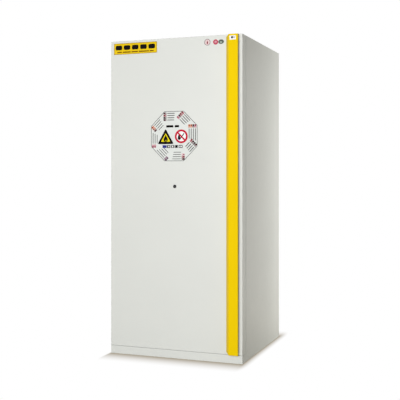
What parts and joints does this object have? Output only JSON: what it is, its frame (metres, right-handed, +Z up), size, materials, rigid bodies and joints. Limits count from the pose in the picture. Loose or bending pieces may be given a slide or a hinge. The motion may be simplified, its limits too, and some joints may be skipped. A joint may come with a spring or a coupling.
{
  "type": "flammable storage cabinet",
  "caption": "Tall fire-rated cabinet with one insulated hinged door, full-height pull handle, key lock with bolt rods, shelves, sump and dampered air spigots.",
  "frame": {"origin": "on the floor under the centre of the footprint, door handle included", "axes": "+X to the right seen from the front, the door faces -Y, +Z up"},
  "size_m": [0.6, 0.61, 1.405],
  "materials": {
    "grey_powder_coat": "fine-textured powder coat",
    "yellow_powder_coat": "satin powder coat",
    "galvanised_sheet": "zinc-coated sheet",
    "grey_tray_coat": "powder coat",
    "bright_steel": "zinc-plated",
    "lock_metal": "black-oxide",
    "lock_core": "bright",
    "brass": "satin",
    "fire_board": "mineral board",
    "white_laminate": "melamine-faced board",
    "dark_seal": "foam",
    "black_plastic": "moulded",
    "printed_film": "printed film"
  },
  "bodies": {
    "cabinet": {"left_side_panel": "grey_powder_coat", "right_side_panel": "grey_powder_coat", "back_panel": "grey_powder_coat", "top_cover": "grey_powder_coat", "base_pan": "galvanised_sheet", "levelling_feet": "black_plastic", "foot_lock_nuts": "bright_steel", "plinth_cover": "grey_powder_coat", "front_frame": "grey_powder_coat", "service_tray": "galvanised_sheet", "casing_screws": "bright_steel", "floor_insulation": "fire_board", "ceiling_insulation": "fire_board", "back_insulation": "fire_board", "left_insulation": "fire_board", "right_insulation": "fire_board", "floor_liner": "white_laminate", "ceiling_liner": "white_laminate", "back_liner": "white_laminate", "left_liner": "white_laminate", "right_liner": "white_laminate", "frame_fire_seal": "dark_seal", "upper_shelf": "grey_tray_coat", "lower_shelf": "grey_tray_coat", "sump_tray": "grey_tray_coat", "sump_grid": "grey_tray_coat", "shelf_rails": "galvanised_sheet", "shelf_clips": "galvanised_sheet", "exhaust_duct": "galvanised_sheet", "inlet_diffuser": "galvanised_sheet", "exhaust_spigot": "galvanised_sheet", "inlet_spigot": "galvanised_sheet", "earth_terminal": "brass", "upper_pivot_bracket": "bright_steel", "lower_pivot_bracket": "bright_steel", "pivot_washer": "bright_steel", "stay_pedestal": "bright_steel"},
    "door": {"door_skin": "grey_powder_coat", "door_inner_skin": "grey_powder_coat", "door_core": "fire_board", "door_gasket": "dark_seal", "pivot_bushes": "brass", "handle_profile": "yellow_powder_coat", "handle_screws": "bright_steel", "lock_housing": "lock_metal", "lock_gear_case": "galvanised_sheet", "rod_guides": "black_plastic", "stay_bracket": "galvanised_sheet", "hazard_label": "printed_film", "name_plate": "printed_film", "small_labels": "printed_film"},
    "lock_barrel": {"lock_plug": "lock_core", "lock_pinion": "bright_steel"},
    "upper_bolt": {"upper_bolt_rod": "bright_steel"},
    "lower_bolt": {"lower_bolt_rod": "bright_steel"},
    "stay_arm": {"stay_arm": "bright_steel"},
    "stay_guide": {"stay_guide": "bright_steel"},
    "exhaust_damper": {"exhaust_damper_flap": "galvanised_sheet"},
    "inlet_damper": {"inlet_damper_flap": "galvanised_sheet"}
  },
  "joints": [
    {"name": "door_hinge", "type": "hinge", "parent": "cabinet", "child": "door", "pos_m": [-0.288, -0.2625, 0], "axis": [0, 0, -1], "range_deg": [0, 105]},
    {"name": "lock_turn", "type": "hinge", "parent": "door", "child": "lock_barrel", "pos_m": [0, -0.285, 0.73], "axis": [0, -1, 0], "range_deg": [0, 90]},
    {"name": "upper_bolt_slide", "type": "slide", "parent": "door", "child": "upper_bolt", "axis": [0, 0, 1], "range_m": [0, 0.0157]},
    {"name": "lower_bolt_slide", "type": "slide", "parent": "door", "child": "lower_bolt", "axis": [0, 0, -1], "range_m": [0, 0.0157]},
    {"name": "stay_arm_pivot", "type": "hinge", "parent": "door", "child": "stay_arm", "pos_m": [-0.14202, -0.228, 1.3285], "axis": [0, 0, 1], "range_deg": [0, 52.5]},
    {"name": "stay_guide_swivel", "type": "hinge", "parent": "cabinet", "child": "stay_guide", "pos_m": [-0.16867, -0.17161, 1.3285], "axis": [0, 0, -1], "range_deg": [0, 52.5]},
    {"name": "exhaust_damper_swing", "type": "hinge", "parent": "cabinet", "child": "exhaust_damper", "pos_m": [0.12, 0.205, 1.335], "axis": [1, 0, 0], "range_deg": [0, 90]},
    {"name": "inlet_damper_swing", "type": "hinge", "parent": "cabinet", "child": "inlet_damper", "pos_m": [-0.12, 0.205, 1.335], "axis": [1, 0, 0], "range_deg": [0, 90]}
  ],
  "couplings": [
    {"joint": "lock_turn", "follows": "upper_bolt_slide", "rad_per_m": 100},
    {"joint": "lower_bolt_slide", "follows": "upper_bolt_slide", "ratio": 1},
    {"joint": "stay_arm_pivot", "follows": "door_hinge", "ratio": 0.5},
    {"joint": "stay_guide_swivel", "follows": "door_hinge", "ratio": 0.5}
  ]
}
